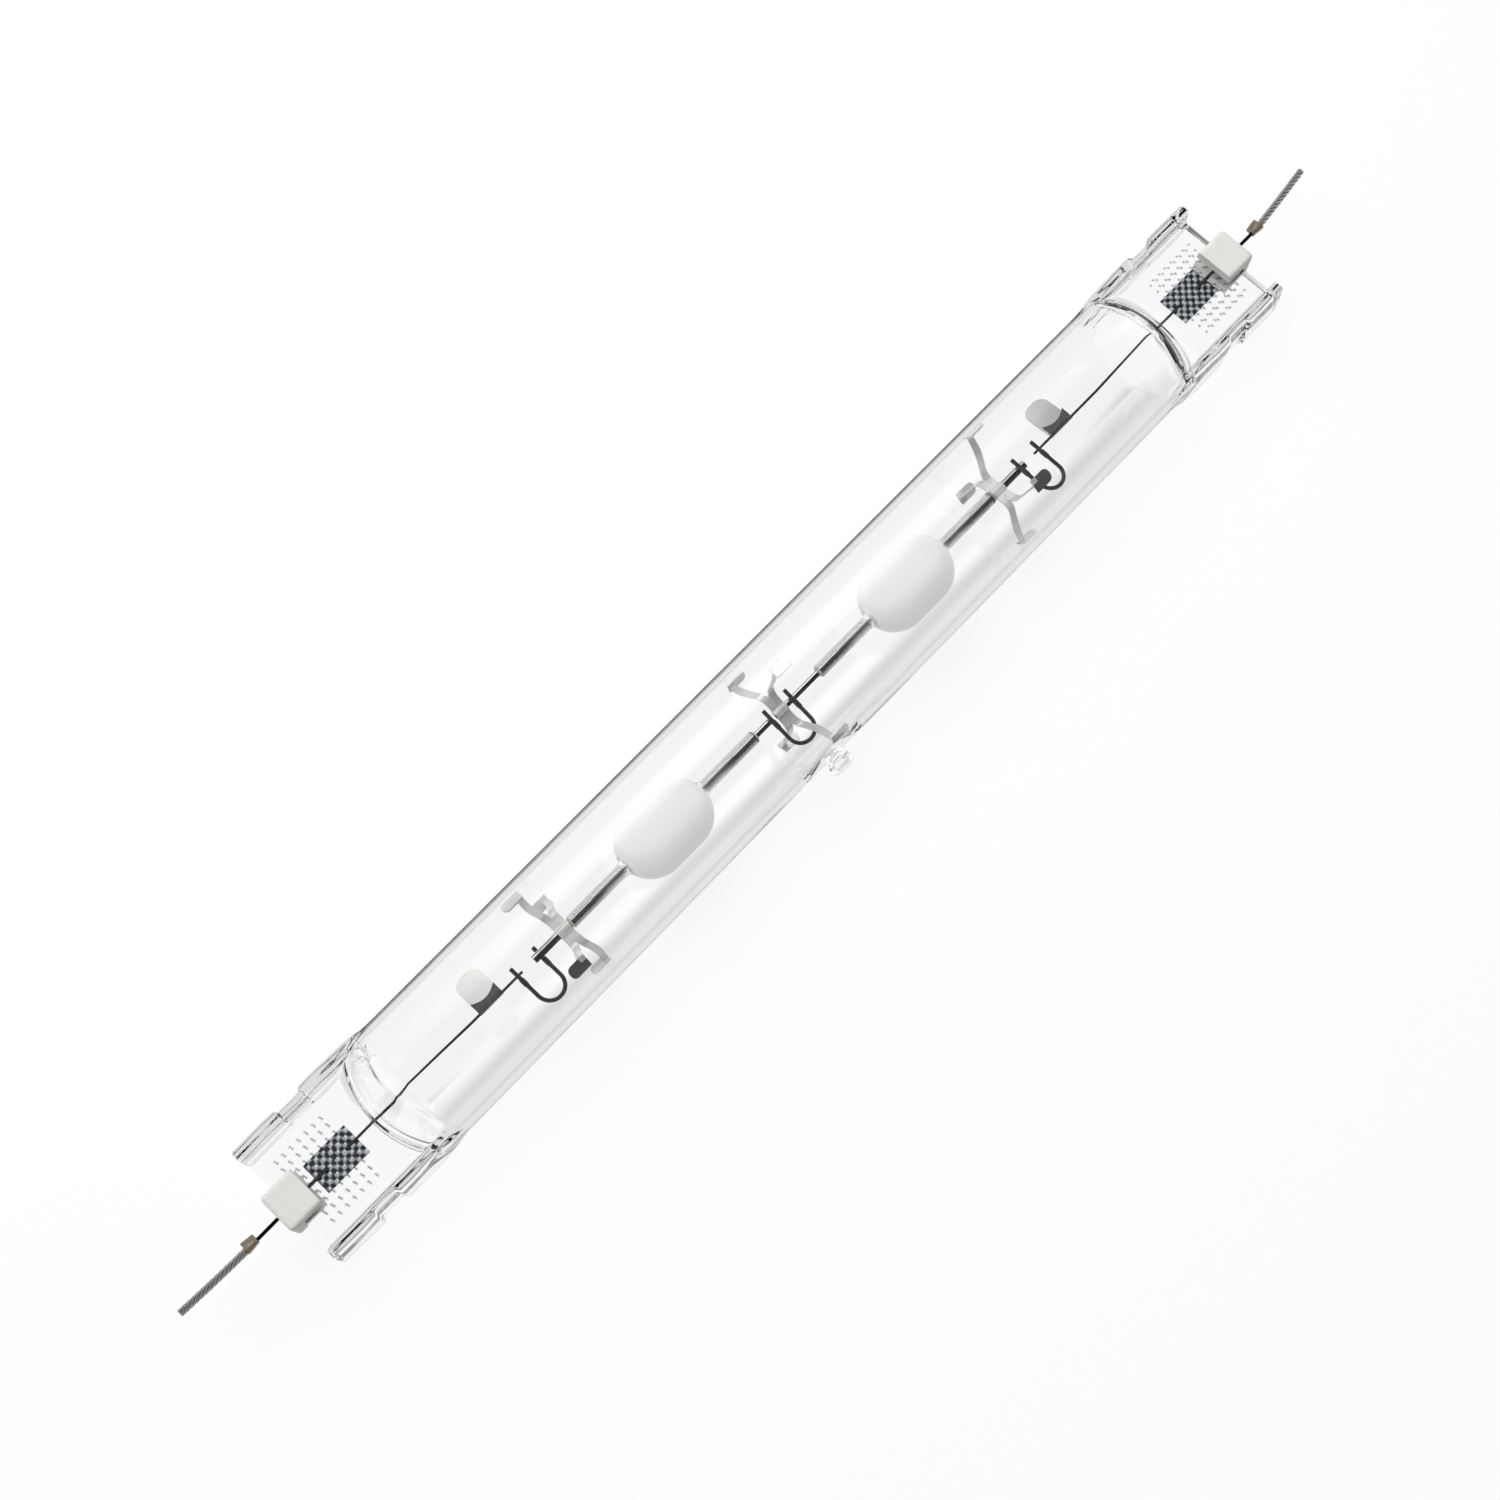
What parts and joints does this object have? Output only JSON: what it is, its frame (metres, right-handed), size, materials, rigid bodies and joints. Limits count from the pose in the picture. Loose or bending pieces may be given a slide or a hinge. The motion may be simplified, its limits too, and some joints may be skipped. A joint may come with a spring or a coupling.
{
  "type": "double-ended ceramic metal halide bulb",
  "caption": "Long clear quartz tube lamp with flat pressed ends, ceramic end blocks, stranded leads and white ceramic arc tubes hung on wires and springs inside.",
  "frame": {"origin": "middle of the quartz tube, on its axis", "axes": "+X along the lamp, +Y away from the exhaust tip, +Z square to the flat pressed ends"},
  "size_m": [0.3606, 0.035, 0.031],
  "materials": {
    "quartz": "clear and polished",
    "block_ceramic": "fine matte",
    "alumina": "translucent satin",
    "frit": "glazed",
    "molybdenum": "drawn, dark",
    "niobium": "satin",
    "tungsten": "drawn",
    "spring_metal": "bright sheet",
    "getter_metal": "satin sheet",
    "lead_metal": "plated strands"
  },
  "bodies": {
    "root": {"outer_envelope": "quartz", "end_block_left": "block_ceramic", "foil_left": "molybdenum", "inner_lead_left": "molybdenum", "outer_pin_left": "molybdenum", "crimp_left": "lead_metal", "stranded_lead_left": "lead_metal", "getter_left": "getter_metal", "arc_tube_left": "alumina", "feedthrough_left_outer": "niobium", "electrode_left_outer": "tungsten", "frit_left_outer": "frit", "feedthrough_left_inner": "niobium", "electrode_left_inner": "tungsten", "frit_left_inner": "frit", "end_block_right": "block_ceramic", "foil_right": "molybdenum", "inner_lead_right": "molybdenum", "outer_pin_right": "molybdenum", "crimp_right": "lead_metal", "stranded_lead_right": "lead_metal", "getter_right": "getter_metal", "arc_tube_right": "alumina", "feedthrough_right_outer": "niobium", "electrode_right_outer": "tungsten", "frit_right_outer": "frit", "feedthrough_right_inner": "niobium", "electrode_right_inner": "tungsten", "frit_right_inner": "frit", "flex_link_left": "niobium", "support_left": "spring_metal", "flex_link_middle": "niobium", "support_middle": "spring_metal", "flex_link_right": "niobium", "support_right": "spring_metal"}
  },
  "joints": []
}
